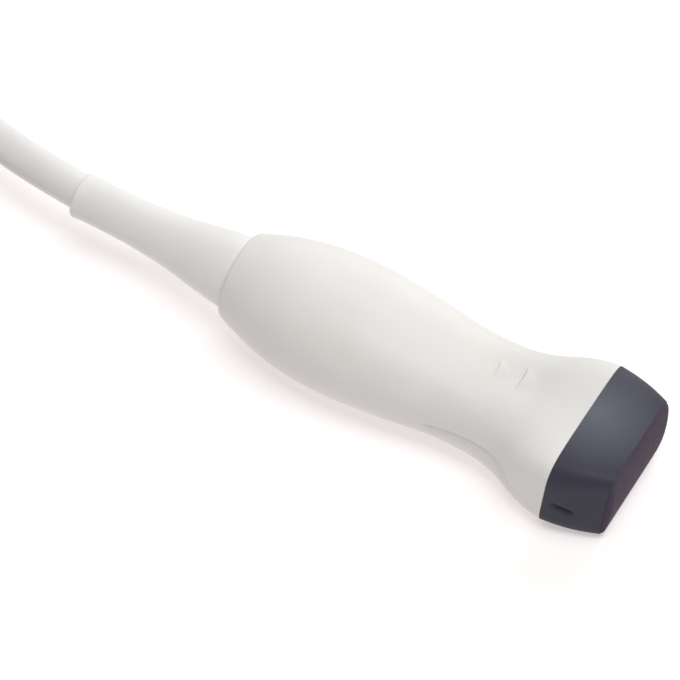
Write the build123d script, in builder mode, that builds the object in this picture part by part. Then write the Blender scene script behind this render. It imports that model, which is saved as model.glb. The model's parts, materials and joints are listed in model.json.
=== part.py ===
from build123d import *
import math
import os

os.makedirs("parts", exist_ok=True)

# Ultrasound probe of the phased array kind, lying on the wide face of its handle, with its
# cable coiled beside it and its console connector lying on the coil.
# Frame: +Z up from the surface it lies on, +X towards the lens, -Y the marked side.
# Millimetres.

# ---------------------------------------------------------------- driving dimensions
# The probe has an axis of its own: u runs along it from the boot's shoulder (u = 0)
# towards the lens, y across it, w up through its thickness.
PITCH = 2.5          # nose-down tilt of the axis as the probe lies
X0, H0 = -29.17, 14.73   # place of u = 0 on the axis
WALL = 2.0           # handle wall
# u, half width, half thickness, squareness of the section
HANDLE = [
    (0.0, 10.5, 10.4, 2.00),
    (4.0, 12.1, 11.6, 2.05),
    (10.0, 14.1, 13.0, 2.12),
    (20.0, 16.2, 13.75, 2.20),
    (32.0, 16.5, 13.60, 2.25),
    (44.0, 15.5, 12.40, 2.30),
    (56.0, 13.9, 11.20, 2.35),
    (66.0, 13.5, 10.50, 2.70),
    (73.0, 14.9, 10.55, 3.05),
    (79.0, 17.4, 11.05, 3.60),
    (83.5, 18.5, 11.15, 4.30),
    (87.0, 18.8, 11.00, 4.90),
]
NOSE = [
    (87.0, 18.8, 11.00, 4.90),
    (91.0, 17.9, 10.88, 5.60),
    (95.5, 16.4, 10.60, 6.80),
    (100.0, 14.4, 10.15, 8.00),
]
SEAM, TIP = 87.0, 100.0      # handle to nosepiece, nosepiece to lens
SPIGOT = 80.0                # back end of the nosepiece's spigot
LENS_BACK, LENS_TOP, LENS_INSET = 98.8, 101.45, 0.7
REAR_HOLE = 7.6              # hole in the handle's rear wall
REAR_WALL = 2.2
# boot, along its own axis
BOOT_YAW = 0.6
BOOT_END = -42.9
BOOT = [(-42.3, 5.42), (-34.0, 5.36), (-26.0, 5.63), (-16.0, 6.57), (-8.0, 7.95), (-0.5, 8.88)]
BOOT_NECK, BOOT_FLANGE = 7.5, 8.7
# cable
CABLE_R = 4.4
CORE_R = 3.7
JACKET_END = -18.0
# coil of the cable's spare length
COIL_X, COIL_Y = -142.4, -39.4
COIL_R = 40.6                # mean radius, four turns wide, two turns high
COIL_Z = 1.0                 # it lies on its tie
COIL_TURNS_WIDE, COIL_TURNS_HIGH = 4, 2
TIE_ANGLE, TIE_WIDTH = 12.0, 14.0
# console connector, lying on the coil
PLUG_X, PLUG_Y = COIL_X + 4.0, COIL_Y - 33.5   # rear wall, centre line
PLUG_L, PLUG_W, PLUG_H = 66.0, 50.0, 26.0
PLUG_Z = COIL_Z + 2 * CABLE_R * COIL_TURNS_HIGH
PLUG_SPLIT = 13.0            # joint line of its two shells, and height of the cable entry
SHAFT_R, SHAFT_PLAY = 4.0, 0.05
# array
ELEMENTS, PITCH_OF_ELEMENTS = 64, 0.33

# ---------------------------------------------------------------- frames and sections
TILT = math.radians(PITCH)
AXIS = Vector(math.cos(TILT), 0, -math.sin(TILT))
UP = Vector(math.sin(TILT), 0, math.cos(TILT))
SIDE = Vector(0, 1, 0)


def spot(u, y=0.0, w=0.0):
    """A point of the probe's own frame."""
    return Vector(X0, 0, H0) + AXIS * u + SIDE * y + UP * w


def across(u):
    """Plane across the axis: local x is y, local y is w."""
    return Plane(origin=spot(u), x_dir=SIDE, z_dir=AXIS)


def deck(w=0.0):
    """Plane along the axis: local x is u, local y is y."""
    return Plane(origin=spot(0, 0, w), x_dir=AXIS, z_dir=UP)


def flank(y=0.0):
    """Plane along the axis seen from the marked side: local x is u, local y is w."""
    return Plane(origin=spot(0, y, 0), x_dir=AXIS, z_dir=-SIDE)


BOOT_AXIS = AXIS * math.cos(math.radians(BOOT_YAW)) - SIDE * math.sin(math.radians(BOOT_YAW))
BOOT_SIDE = BOOT_AXIS.cross(UP)


def boot_point(u):
    """A point of the boot's own axis, which is turned a little to the far side."""
    return spot(0) + BOOT_AXIS * u


def outline(a, b, n, count=32):
    """Points of a rounded section with half sizes a and b."""
    points = []
    for k in range(count):
        t = 2 * math.pi * k / count
        c, s = math.cos(t), math.sin(t)
        c, s = (0.0 if abs(c) < 1e-9 else c), (0.0 if abs(s) < 1e-9 else s)
        r = (abs(c) ** n + abs(s) ** n) ** (-1 / n)
        points.append((a * r * c, b * r * s))
    return points


def slope(rows, i, k):
    if i == 0 or i == len(rows) - 1:
        j = min(i, len(rows) - 2)
        return (rows[j + 1][k] - rows[j][k]) / (rows[j + 1][0] - rows[j][0])
    return (rows[i + 1][k] - rows[i - 1][k]) / (rows[i + 1][0] - rows[i - 1][0])


def sizes(rows, u):
    """Half width, half thickness and squareness at u, on a smooth line through the rows."""
    i = max(0, min(len(rows) - 2, sum(1 for r in rows if r[0] <= u) - 1))
    h = rows[i + 1][0] - rows[i][0]
    t = (u - rows[i][0]) / h
    found = []
    for k in (1, 2, 3):
        p, q = rows[i][k], rows[i + 1][k]
        m, n = slope(rows, i, k) * h, slope(rows, i + 1, k) * h
        found.append(
            (2 * t**3 - 3 * t**2 + 1) * p
            + (t**3 - 2 * t**2 + t) * m
            + (3 * t**2 - 2 * t**3) * q
            + (t**3 - t**2) * n
        )
    return found


def section(u, a, b, n):
    """A closed section across the axis."""
    with BuildSketch(across(u)) as face:
        with BuildLine():
            Spline(*outline(a, b, n), periodic=True)
        make_face()
    return face.sketch


def slice_of(rows, u, inset=0.0):
    a, b, n = sizes(rows, u)
    return section(u, a - inset, b - inset, n)


OUTER_U = [row[0] for row in HANDLE]
INNER_U = [REAR_WALL] + [row[0] for row in HANDLE[1:]]
SHIELD_U = [12.0, 20.0, 32.0, 44.0, 56.0, 66.0, 73.0, 78.0]
NOSE_U = [row[0] for row in NOSE]
# seal groove: its back end, length and the handle's inner half sizes there
SEAL_U, SEAL_T = 82.9, 1.2
SEAL_A, SEAL_B, SEAL_N = sizes(HANDLE, SEAL_U)[0] - WALL, sizes(HANDLE, SEAL_U)[1] - WALL, 3.8
# floor of the scooped mark, parallel to the nosepiece's tapered side
MARK = Plane(origin=spot(88.4, -17.7, -1.6), x_dir=AXIS * 0.94 + SIDE * 0.34, z_dir=AXIS * 0.34 - SIDE * 0.94)
GRIP_U = [56.5, 58.5, 61.0, 65.0, 69.0, 73.0, 76.0, 78.0]
GRIP_SIZE = [0.15, 0.42, 0.6, 0.65, 0.65, 0.6, 0.42, 0.15]
GRIP_W = -1.0


def grip_section(u, size):
    """Section of the shallow finger recess on the marked side."""
    with BuildSketch(Plane(origin=spot(u, -sizes(HANDLE, u)[0] - 0.1, GRIP_W), x_dir=SIDE, z_dir=AXIS)) as face:
        Ellipse(size, 2.7 * size)
    return face.sketch


# ---------------------------------------------------------------- handle
with BuildPart() as handle_shell_top:
    loft([slice_of(HANDLE, u) for u in OUTER_U])
    loft([slice_of(HANDLE, u, WALL) for u in INNER_U], mode=Mode.SUBTRACT)
    with BuildSketch(across(-1.0)):
        Circle(REAR_HOLE)
    extrude(amount=REAR_WALL + 2.0, mode=Mode.SUBTRACT)
    loft([grip_section(u, s) for u, s in zip(GRIP_U, GRIP_SIZE)], mode=Mode.SUBTRACT)
    split(bisect_by=deck(0.0), keep=Keep.TOP)
    # two low ridges felt by the thumb at the neck
    with BuildSketch(deck(sizes(HANDLE, 64.4)[1] - 0.6)):
        with Locations((64.4, 0.6)):
            SlotOverall(6.0, 1.1, rotation=90)
    extrude(amount=0.85)
    with BuildSketch(deck(sizes(HANDLE, 70.2)[1] - 0.6)):
        with Locations((70.2, 0.9)):
            SlotOverall(7.6, 1.2, rotation=90)
    extrude(amount=0.85)
handle_shell_top.part.label = "handle_shell_top"
export_step(handle_shell_top.part, "parts/handle_shell_top.step")

with BuildPart() as handle_shell_bottom:
    loft([slice_of(HANDLE, u) for u in OUTER_U])
    loft([slice_of(HANDLE, u, WALL) for u in INNER_U], mode=Mode.SUBTRACT)
    with BuildSketch(across(-1.0)):
        Circle(REAR_HOLE)
    extrude(amount=REAR_WALL + 2.0, mode=Mode.SUBTRACT)
    loft([grip_section(u, s) for u, s in zip(GRIP_U, GRIP_SIZE)], mode=Mode.SUBTRACT)
    split(bisect_by=deck(0.0), keep=Keep.BOTTOM)
handle_shell_bottom.part.label = "handle_shell_bottom"
export_step(handle_shell_bottom.part, "parts/handle_shell_bottom.step")

# foil-lined shield sleeve just inside the handle
with BuildPart() as rf_shield:
    loft([slice_of(HANDLE, u, WALL + 0.25) for u in SHIELD_U])
    loft([slice_of(HANDLE, u, WALL + 0.6) for u in SHIELD_U], mode=Mode.SUBTRACT)
rf_shield.part.label = "rf_shield"
export_step(rf_shield.part, "parts/rf_shield.step")

# ---------------------------------------------------------------- nosepiece, seal and lens
with BuildPart() as nosepiece:
    loft([slice_of(NOSE, u) for u in NOSE_U])
    # spigot inside the handle, with a groove for the seal
    loft([slice_of(HANDLE, u, WALL + 0.15) for u in (SPIGOT, 83.5, SEAM)])
    with BuildSketch(across(SEAL_U - 0.1)):
        Rectangle(44.0, 28.0)
        with BuildLine():
            Spline(*outline(SEAL_A - 1.15, SEAL_B - 1.15, SEAL_N), periodic=True)
        make_face(mode=Mode.SUBTRACT)
    extrude(amount=SEAL_T + 0.2, mode=Mode.SUBTRACT)
    # room for the array
    loft(
        [
            section(SPIGOT - 0.1, 13.9, 7.4, 5.0),
            section(SEAM, 15.0, 7.5, 5.0),
            section(92.0, 14.1, 8.0, 5.5),
            section(LENS_BACK, 12.2, 8.1, 6.0),
        ],
        mode=Mode.SUBTRACT,
    )
    # seat of the lens
    with BuildSketch(across(LENS_BACK)):
        with BuildLine():
            Spline(*outline(NOSE[-1][1] - LENS_INSET + 0.05, NOSE[-1][2] - LENS_INSET + 0.05, NOSE[-1][3]), periodic=True)
        make_face()
    extrude(amount=4.0, mode=Mode.SUBTRACT)
    # scooped orientation mark on the marked side
    with BuildSketch(MARK):
        with Locations((3.3, 0.0)):
            SlotOverall(6.8, 2.6)
    extrude(amount=3.0, mode=Mode.SUBTRACT)
nosepiece.part.label = "nosepiece"
export_step(nosepiece.part, "parts/nosepiece.step")

with BuildPart() as nose_seal:
    with BuildSketch(across(SEAL_U)):
        with BuildLine():
            Spline(*outline(SEAL_A - 0.1, SEAL_B - 0.1, SEAL_N), periodic=True)
        make_face()
        with BuildLine():
            Spline(*outline(SEAL_A - 1.1, SEAL_B - 1.1, SEAL_N), periodic=True)
        make_face(mode=Mode.SUBTRACT)
    extrude(amount=SEAL_T)
nose_seal.part.label = "nose_seal"
export_step(nose_seal.part, "parts/nose_seal.step")

with BuildPart() as acoustic_lens:
    with BuildSketch(across(LENS_BACK)):
        with BuildLine():
            Spline(*outline(NOSE[-1][1] - LENS_INSET, NOSE[-1][2] - LENS_INSET, NOSE[-1][3]), periodic=True)
        make_face()
    extrude(amount=4.0)
    # dome across the thickness
    with BuildSketch(flank()):
        with BuildLine():
            Polyline((100.3, 9.6), (100.3, 12.0), (97.0, 12.0), (97.0, -12.0), (100.3, -12.0), (100.3, -9.6))
            ThreePointArc((100.3, -9.6), (LENS_TOP, 0.0), (100.3, 9.6))
        make_face()
    extrude(amount=20.0, both=True, mode=Mode.INTERSECT)
acoustic_lens.part.label = "acoustic_lens"
export_step(acoustic_lens.part, "parts/acoustic_lens.step")

# ---------------------------------------------------------------- acoustic stack, front to back
ARRAY_W, ARRAY_T = 21.2, 13.2
with BuildPart() as matching_layer_outer:
    with BuildSketch(across(98.5)):
        Rectangle(ARRAY_W, ARRAY_T)
    extrude(amount=0.3)
matching_layer_outer.part.label = "matching_layer_outer"
export_step(matching_layer_outer.part, "parts/matching_layer_outer.step")

with BuildPart() as matching_layer_inner:
    with BuildSketch(across(98.2)):
        Rectangle(ARRAY_W, ARRAY_T)
    extrude(amount=0.3)
matching_layer_inner.part.label = "matching_layer_inner"
export_step(matching_layer_inner.part, "parts/matching_layer_inner.step")

# diced ceramic: one bar for each element
with BuildPart() as piezo_elements:
    with BuildSketch(across(97.7)):
        with GridLocations(PITCH_OF_ELEMENTS, 1.0, ELEMENTS, 1):
            Rectangle(PITCH_OF_ELEMENTS - 0.05, ARRAY_T)
    extrude(amount=0.5)
piezo_elements.part.label = "piezo_elements"
export_step(piezo_elements.part, "parts/piezo_elements.step")

# folded signal film: across the back of the bars, then back along both faces
with BuildPart() as signal_flex:
    with BuildSketch(flank()):
        with Locations(((80.0 + 97.7) / 2, 0.0)):
            Rectangle(97.7 - 80.0, 13.6)
        with Locations(((79.0 + 97.55) / 2, 0.0)):
            Rectangle(97.55 - 79.0, 13.3, mode=Mode.SUBTRACT)
    extrude(amount=10.2, both=True)
signal_flex.part.label = "signal_flex"
export_step(signal_flex.part, "parts/signal_flex.step")

with BuildPart() as backing_block:
    with BuildSketch(across(89.0)):
        Rectangle(20.4, 13.2)
    extrude(amount=8.55)
    # slots for the heat fins
    with BuildSketch(across(89.0)):
        with GridLocations(4.0, 1.0, 4, 1):
            Rectangle(1.0, 10.0)
    extrude(amount=4.0, mode=Mode.SUBTRACT)
backing_block.part.label = "backing_block"
export_step(backing_block.part, "parts/backing_block.step")

# aluminium heat spreader: plate behind the backing, fins into it, tongue between the boards
with BuildPart() as heat_spreader:
    with BuildSketch(across(87.0)):
        Rectangle(20.4, 13.0)
    extrude(amount=2.0)
    with BuildSketch(across(89.0)):
        with GridLocations(4.0, 1.0, 4, 1):
            Rectangle(0.9, 9.8)
    extrude(amount=3.9)
    with BuildSketch(across(58.0)):
        Rectangle(13.0, 1.6)
    extrude(amount=29.0)
heat_spreader.part.label = "heat_spreader"
export_step(heat_spreader.part, "parts/heat_spreader.step")

with BuildPart() as array_frame:
    with BuildSketch(across(91.0)):
        RectangleRounded(23.4, 15.4, 3.0)
        RectangleRounded(21.6, 13.9, 0.8, mode=Mode.SUBTRACT)
    extrude(amount=LENS_BACK - 91.0)
array_frame.part.label = "array_frame"
export_step(array_frame.part, "parts/array_frame.step")

# ---------------------------------------------------------------- boards and wiring in the handle
BOARD_HALF, BOARD_IN, BOARD_T = 8.8, 4.2, 1.0
BOARD_FROM, BOARD_TO = 50.0, 83.5
with BuildPart() as interconnect_board_upper:
    with BuildSketch(deck(BOARD_IN)):
        with Locations(((BOARD_FROM + BOARD_TO) / 2, 0.0)):
            Rectangle(BOARD_TO - BOARD_FROM, 2 * BOARD_HALF)
    extrude(amount=BOARD_T)
    chamfer(interconnect_board_upper.edges().filter_by(Axis(spot(0), UP)), 1.0)
interconnect_board_upper.part.label = "interconnect_board_upper"
export_step(interconnect_board_upper.part, "parts/interconnect_board_upper.step")

with BuildPart() as interconnect_board_lower:
    with BuildSketch(deck(-BOARD_IN)):
        with Locations(((BOARD_FROM + BOARD_TO) / 2, 0.0)):
            Rectangle(BOARD_TO - BOARD_FROM, 2 * BOARD_HALF)
    extrude(amount=-BOARD_T)
    chamfer(interconnect_board_lower.edges().filter_by(Axis(spot(0), UP)), 1.0)
interconnect_board_lower.part.label = "interconnect_board_lower"
export_step(interconnect_board_lower.part, "parts/interconnect_board_lower.step")

# moulded rails that hold the boards apart
with BuildPart() as board_spacers:
    with BuildSketch(deck(-BOARD_IN)):
        with Locations((66.0, 7.9), (66.0, -7.9)):
            Rectangle(28.0, 1.6)
    extrude(amount=2 * BOARD_IN)
board_spacers.part.label = "board_spacers"
export_step(board_spacers.part, "parts/board_spacers.step")

# sockets where the signal film plugs in
with BuildPart() as flex_sockets:
    with BuildSketch(deck(BOARD_IN + BOARD_T)):
        with Locations((81.2, 0.0)):
            Rectangle(3.6, 16.0)
    extrude(amount=6.65 - BOARD_IN - BOARD_T)
    with BuildSketch(deck(-BOARD_IN - BOARD_T)):
        with Locations((81.2, 0.0)):
            Rectangle(3.6, 16.0)
    extrude(amount=-(6.65 - BOARD_IN - BOARD_T))
flex_sockets.part.label = "flex_sockets"
export_step(flex_sockets.part, "parts/flex_sockets.step")

# micro-coax sockets at the boards' rear
with BuildPart() as coax_sockets:
    with BuildSketch(deck(BOARD_IN + BOARD_T)):
        with Locations((55.5, 0.0)):
            Rectangle(4.0, 13.0)
    extrude(amount=1.9)
    with BuildSketch(deck(-BOARD_IN - BOARD_T)):
        with Locations((55.5, 0.0)):
            Rectangle(4.0, 13.0)
    extrude(amount=-1.9)
coax_sockets.part.label = "coax_sockets"
export_step(coax_sockets.part, "parts/coax_sockets.step")

# stripped core of the cable: braid over the coax bundle
with BuildPart() as coax_core:
    with BuildSketch(Plane(origin=boot_point(JACKET_END), x_dir=SIDE, z_dir=AXIS)):
        Circle(CORE_R)
    with BuildSketch(across(0.0)):
        Circle(CORE_R)
    loft(ruled=True)
    with BuildSketch(across(0.0)):
        Circle(CORE_R)
    extrude(amount=14.0)
coax_core.part.label = "coax_core"
export_step(coax_core.part, "parts/coax_core.step")


def bundle(side, face):
    """One fan-out bundle from the core to a board's socket."""
    with BuildPart() as part:
        with BuildLine() as path:
            FilletPolyline(
                spot(14.0, side * 1.8, face * 1.8),
                spot(24.0, side * 2.0, face * 2.3),
                spot(41.0, side * 4.2, face * 6.4),
                spot(53.4, side * 4.2, face * 6.4),
                radius=[25.0, 25.0],
            )
        with BuildSketch(across(14.0)):
            with Locations((side * 1.8, face * 1.8)):
                Circle(1.15)
        sweep(path=path.wires()[0])
    return part.part


with BuildPart() as coax_bundle_upper:
    add(bundle(1, 1))
    add(bundle(-1, 1))
coax_bundle_upper.part.label = "coax_bundle_upper"
export_step(coax_bundle_upper.part, "parts/coax_bundle_upper.step")

with BuildPart() as coax_bundle_lower:
    add(bundle(1, -1))
    add(bundle(-1, -1))
coax_bundle_lower.part.label = "coax_bundle_lower"
export_step(coax_bundle_lower.part, "parts/coax_bundle_lower.step")

# crimped sleeve on the braid, and the plate that anchors it in the handle
with BuildPart() as crimp_ferrule:
    with BuildSketch(across(5.0)):
        Circle(4.8)
        Circle(CORE_R + 0.02, mode=Mode.SUBTRACT)
    extrude(amount=8.6)
crimp_ferrule.part.label = "crimp_ferrule"
export_step(crimp_ferrule.part, "parts/crimp_ferrule.step")

with BuildPart() as anchor_plate:
    with BuildSketch(across(8.0)):
        Circle(10.0)
        Circle(4.85, mode=Mode.SUBTRACT)
        with PolarLocations(7.6, 4, start_angle=45):
            Circle(1.0, mode=Mode.SUBTRACT)
    extrude(amount=1.4)
anchor_plate.part.label = "anchor_plate"
export_step(anchor_plate.part, "parts/anchor_plate.step")

# ---------------------------------------------------------------- strain relief boot
with BuildPart() as strain_relief_boot:
    # local x runs along the boot's axis, local y outwards from it
    with BuildSketch(Plane(origin=spot(0), x_dir=BOOT_AXIS, z_dir=BOOT_SIDE)) as boot_profile:
        with BuildLine():
            Spline(*BOOT)
            Polyline(
                BOOT[-1], (-0.1, 8.55), (-0.1, BOOT_NECK), (REAR_WALL + 0.1, BOOT_NECK), (REAR_WALL + 0.1, BOOT_FLANGE),
                (4.6, BOOT_FLANGE), (4.6, CORE_R + 0.1), (JACKET_END, CORE_R + 0.1),
                (JACKET_END, CABLE_R + 0.05), (BOOT_END, CABLE_R + 0.05), (BOOT_END, 4.9), BOOT[0],
            )
        make_face()
    revolve(axis=Axis(spot(0), BOOT_AXIS))
strain_relief_boot.part.label = "strain_relief_boot"
export_step(strain_relief_boot.part, "parts/strain_relief_boot.step")

# ---------------------------------------------------------------- cable
def fits(points):
    """For each corner, the largest arc that its two runs leave room for."""
    radii = []
    for before, here, after in zip(points, points[1:], points[2:]):
        p, q = here - before, after - here
        turn = math.radians(p.get_angle(q))
        radii.append(0.45 * min(p.length, q.length) / math.tan(turn / 2))
    return radii


def check_tube(name, part, points, radii):
    length = 0.0
    corners = []
    for before, here, after in zip(points, points[1:], points[2:]):
        corners.append(math.radians((here - before).get_angle(after - here)))
    length = sum((b - a).length for a, b in zip(points, points[1:]))
    for turn, r in zip(corners, radii):
        length += r * turn - 2 * r * math.tan(turn / 2)
    print(name, "length", round(length, 1), "radii", [round(r) for r in radii],
          "runs", [round((b - a).length, 1) for a, b in zip(points, points[1:])],
          "turns", [round(math.degrees(t), 1) for t in corners],
          "volume ratio", round(part.volume / (math.pi * CABLE_R**2 * length), 4))


OUT_R = COIL_R + (COIL_TURNS_WIDE - 1) * CABLE_R   # middle of the outermost turn
LOW = COIL_Z + CABLE_R
COIL_HIGH = 2 * CABLE_R * COIL_TURNS_HIGH
COIL_WIDE = 2 * CABLE_R * COIL_TURNS_WIDE
with BuildPart() as cable_coil:
    with BuildSketch(Plane(origin=(COIL_X, COIL_Y, 0), x_dir=(1, 0, 0), z_dir=(0, -1, 0))):
        with Locations((COIL_R, COIL_Z + COIL_HIGH / 2)):
            RectangleRounded(COIL_WIDE, COIL_HIGH, 4.2)
    revolve(axis=Axis((COIL_X, COIL_Y, 0), (0, 0, 1)))
cable_coil.part.label = "cable_coil"
export_step(cable_coil.part, "parts/cable_coil.step")

LEAD = [
    boot_point(JACKET_END),
    boot_point(-51.0),
    Vector(X0 - 83.0, 11.0, 13.0),
    Vector(X0 - 99.8, 14.7, LOW + 1.9),
    Vector(COIL_X, COIL_Y + OUT_R, LOW),
]
LEAD_RADII = fits(LEAD)
with BuildPart() as cable_lead:
    with BuildLine() as lead_path:
        FilletPolyline(*LEAD, radius=LEAD_RADII)
    with BuildSketch(Plane(origin=LEAD[0], x_dir=SIDE, z_dir=LEAD[1] - LEAD[0])):
        Circle(CABLE_R)
    sweep(path=lead_path.wires()[0])
check_tube("cable_lead", cable_lead.part, LEAD, LEAD_RADII)
with cable_lead:
    add(cable_coil.part, mode=Mode.SUBTRACT)
cable_lead.part.label = "cable_lead"
export_step(cable_lead.part, "parts/cable_lead.step")

# last part of the cable: off the top of the coil and into the connector
ENTRY_Z = PLUG_Z + PLUG_SPLIT
TOP = COIL_Z + COIL_HIGH + CABLE_R

TAIL = [
    Vector(COIL_X + 9.5, COIL_Y + 51.8, TOP - 1.0),
    Vector(COIL_X - 15.1, COIL_Y + 47.5, TOP + 0.8),
    Vector(COIL_X - 36.1, COIL_Y + 32.2, TOP + 2.7),
    Vector(COIL_X - 45.8, COIL_Y + 6.8, TOP + 4.9),
    Vector(COIL_X - 38.4, COIL_Y - 19.2, TOP + 7.2),
    Vector(PLUG_X - 19.5, PLUG_Y, ENTRY_Z),
    Vector(PLUG_X + 7.6, PLUG_Y, ENTRY_Z),
]
TAIL_RADII = fits(TAIL)
with BuildPart() as cable_tail:
    with BuildLine() as tail_path:
        FilletPolyline(*TAIL, radius=TAIL_RADII)
    with BuildSketch(Plane(origin=TAIL[0], z_dir=TAIL[1] - TAIL[0])):
        Circle(CABLE_R)
    sweep(path=tail_path.wires()[0])
check_tube("cable_tail", cable_tail.part, TAIL, TAIL_RADII)
with cable_tail:
    add(cable_coil.part, mode=Mode.SUBTRACT)
cable_tail.part.label = "cable_tail"
export_step(cable_tail.part, "parts/cable_tail.step")

# hook and loop tie round the coil's bundle
tie_dir = Vector(math.cos(math.radians(TIE_ANGLE)), math.sin(math.radians(TIE_ANGLE)), 0)
TIE_IN, TIE_OUT = COIL_R - COIL_WIDE / 2 - 1.25, COIL_R + COIL_WIDE / 2 + 0.15
with BuildPart() as coil_tie:
    with BuildSketch(
        Plane(
            origin=Vector(COIL_X, COIL_Y, COIL_Z + COIL_HIGH / 2) + tie_dir * (TIE_IN + TIE_OUT) / 2,
            x_dir=tie_dir,
            z_dir=tie_dir.cross(Vector(0, 0, 1)),
        )
    ):
        RectangleRounded(TIE_OUT - TIE_IN + 2.0, COIL_HIGH + 2.0, 5.2)
        RectangleRounded(TIE_OUT - TIE_IN, COIL_HIGH + 0.04, 4.2, mode=Mode.SUBTRACT)
    extrude(amount=TIE_WIDTH / 2, both=True)
coil_tie.part.label = "coil_tie"
export_step(coil_tie.part, "parts/coil_tie.step")

# ---------------------------------------------------------------- console connector
MID_X = PLUG_X + PLUG_L / 2


def level(z, x=MID_X):
    """Level plane z above the connector's rim, centred on its lock shaft."""
    return Plane(origin=(x, PLUG_Y, PLUG_Z + z))


def upright(x):
    """Plane across the connector at x from its rear wall, on the cable's centre line."""
    return Plane(origin=(PLUG_X + x, PLUG_Y, ENTRY_Z), x_dir=(0, 1, 0), z_dir=(1, 0, 0))


SCREWS = [(28.6, 20.6), (28.6, -20.6), (-28.6, 20.6), (-28.6, -20.6)]

with BuildPart() as plug_base:
    with BuildSketch(level(0)):
        RectangleRounded(PLUG_L, PLUG_W, 8.0)
    extrude(amount=PLUG_SPLIT)
    fillet(plug_base.faces().sort_by(Axis.Z)[0].edges(), 1.0)
    with BuildSketch(level(0)):
        RectangleRounded(56.0, 40.0, 4.0)
    extrude(amount=3.0, mode=Mode.SUBTRACT)
    with BuildSketch(level(0)):
        RectangleRounded(46.2, 32.2, 1.1)
    extrude(amount=PLUG_SPLIT, mode=Mode.SUBTRACT)
    with BuildSketch(level(5.5)):
        RectangleRounded(62.0, 46.0, 6.0)
        for x, y in SCREWS:
            with Locations((x, y)):
                Circle(2.9, mode=Mode.SUBTRACT)
    extrude(amount=PLUG_SPLIT, mode=Mode.SUBTRACT)
    with BuildSketch(level(-0.1)):
        with Locations(*SCREWS):
            Circle(1.9)
    extrude(amount=2.1, mode=Mode.SUBTRACT)
    with BuildSketch(level(0)):
        with Locations(*SCREWS):
            Circle(1.15)
    extrude(amount=PLUG_SPLIT, mode=Mode.SUBTRACT)
    with BuildSketch(upright(-1.0)):
        Circle(5.9)
    extrude(amount=4.0, mode=Mode.SUBTRACT)
plug_base.part.label = "plug_base"
export_step(plug_base.part, "parts/plug_base.step")

with BuildPart() as plug_cover:
    with BuildSketch(level(PLUG_SPLIT)):
        RectangleRounded(PLUG_L, PLUG_W, 8.0)
    extrude(amount=PLUG_H - PLUG_SPLIT)
    fillet(plug_cover.faces().sort_by(Axis.Z)[-1].edges(), 3.0)
    with BuildSketch(level(PLUG_SPLIT)):
        RectangleRounded(62.0, 46.0, 6.0)
        for x, y in SCREWS:
            with Locations((x, y)):
                Circle(2.9, mode=Mode.SUBTRACT)
    extrude(amount=PLUG_H - PLUG_SPLIT - 2.4, mode=Mode.SUBTRACT)
    # boss for the shaft's bush
    with BuildSketch(level(20.0)):
        Circle(8.5)
    extrude(amount=4.0)
    with BuildSketch(level(19.0)):
        Circle(6.0)
    extrude(amount=8.0, mode=Mode.SUBTRACT)
    with BuildSketch(level(PLUG_SPLIT)):
        with Locations(*SCREWS):
            Circle(1.1)
    extrude(amount=6.0, mode=Mode.SUBTRACT)
    with BuildSketch(upright(-1.0)):
        Circle(5.9)
    extrude(amount=4.0, mode=Mode.SUBTRACT)
plug_cover.part.label = "plug_cover"
export_step(plug_cover.part, "parts/plug_cover.step")

with BuildPart() as contact_block:
    with BuildSketch(level(1.8)):
        RectangleRounded(46.0, 32.0, 1.0)
    extrude(amount=3.7)
    with BuildSketch(level(5.5)):
        RectangleRounded(50.0, 36.0, 1.0)
    extrude(amount=2.5)
    with BuildSketch(level(0)):
        Circle(SHAFT_R + SHAFT_PLAY)
    extrude(amount=9.0, mode=Mode.SUBTRACT)
contact_block.part.label = "contact_block"
export_step(contact_block.part, "parts/contact_block.step")

PADS = [
    (x, y)
    for x in [k * 3.2 - 20.8 for k in range(14)]
    for y in [k * 3.4 - 13.6 for k in range(9)]
    if math.hypot(x, y) > 9.0
]
with BuildPart() as contact_pads:
    with BuildSketch(level(1.55)):
        with Locations(*PADS):
            Rectangle(1.5, 1.9)
    extrude(amount=0.25)
contact_pads.part.label = "contact_pads"
export_step(contact_pads.part, "parts/contact_pads.step")

with BuildPart() as plug_board:
    with BuildSketch(level(8.0, PLUG_X + 36.0)):
        Rectangle(42.0, 40.0)
        with Locations((-3.0, 0.0)):
            Circle(6.5, mode=Mode.SUBTRACT)
    extrude(amount=1.6)
plug_board.part.label = "plug_board"
export_step(plug_board.part, "parts/plug_board.step")

with BuildPart() as plug_shield:
    with BuildSketch(level(9.6, PLUG_X + 38.0)):
        RectangleRounded(37.6, 38.0, 2.0)
    extrude(amount=8.6)
    with BuildSketch(level(9.6, PLUG_X + 38.0)):
        RectangleRounded(36.8, 37.2, 1.6)
    extrude(amount=8.2, mode=Mode.SUBTRACT)
    with BuildSketch(level(9.6)):
        Circle(7.0)
    extrude(amount=12.0, mode=Mode.SUBTRACT)
    with BuildSketch(upright(15.0)):
        Circle(2.8)
    extrude(amount=6.0, mode=Mode.SUBTRACT)
plug_shield.part.label = "plug_shield"
export_step(plug_shield.part, "parts/plug_shield.step")

with BuildPart() as plug_header:
    with BuildSketch(level(9.6, PLUG_X + 23.0)):
        Rectangle(3.0, 26.0)
    extrude(amount=6.2)
plug_header.part.label = "plug_header"
export_step(plug_header.part, "parts/plug_header.step")

with BuildPart() as plug_wire_bundle:
    with BuildSketch(upright(8.0)):
        Circle(2.6)
    extrude(amount=13.5)
plug_wire_bundle.part.label = "plug_wire_bundle"
export_step(plug_wire_bundle.part, "parts/plug_wire_bundle.step")

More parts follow.
